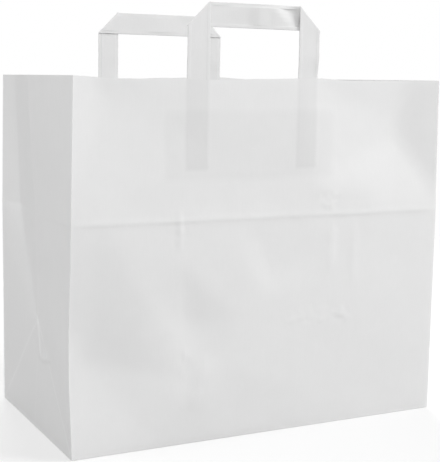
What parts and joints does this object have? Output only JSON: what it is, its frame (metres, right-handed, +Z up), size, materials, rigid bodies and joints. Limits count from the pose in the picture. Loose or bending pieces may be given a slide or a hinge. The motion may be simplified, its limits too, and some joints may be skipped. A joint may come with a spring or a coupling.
{
  "type": "paper carrier bag",
  "caption": "White kraft paper carrier bag with side gussets, a folded block bottom and flat folded-strip handles glued inside the rim under paper patches.",
  "frame": {"origin": "middle of the underside of the base", "axes": "+Z up from the base to the rim and handles, +X along the width to the right as seen from the front, the front panel faces -Y and the gussets face -X and +X"},
  "size_m": [0.3208, 0.177, 0.331],
  "materials": {
    "bag_paper": "matte bleached kraft",
    "handle_paper": "matte bleached kraft, folded in plies",
    "patch_paper": "matte bleached kraft"
  },
  "bodies": {
    "root": {"bag_body": "bag_paper", "front_handle": "handle_paper", "back_handle": "handle_paper", "front_handle_patch": "patch_paper", "back_handle_patch": "patch_paper"}
  },
  "joints": []
}
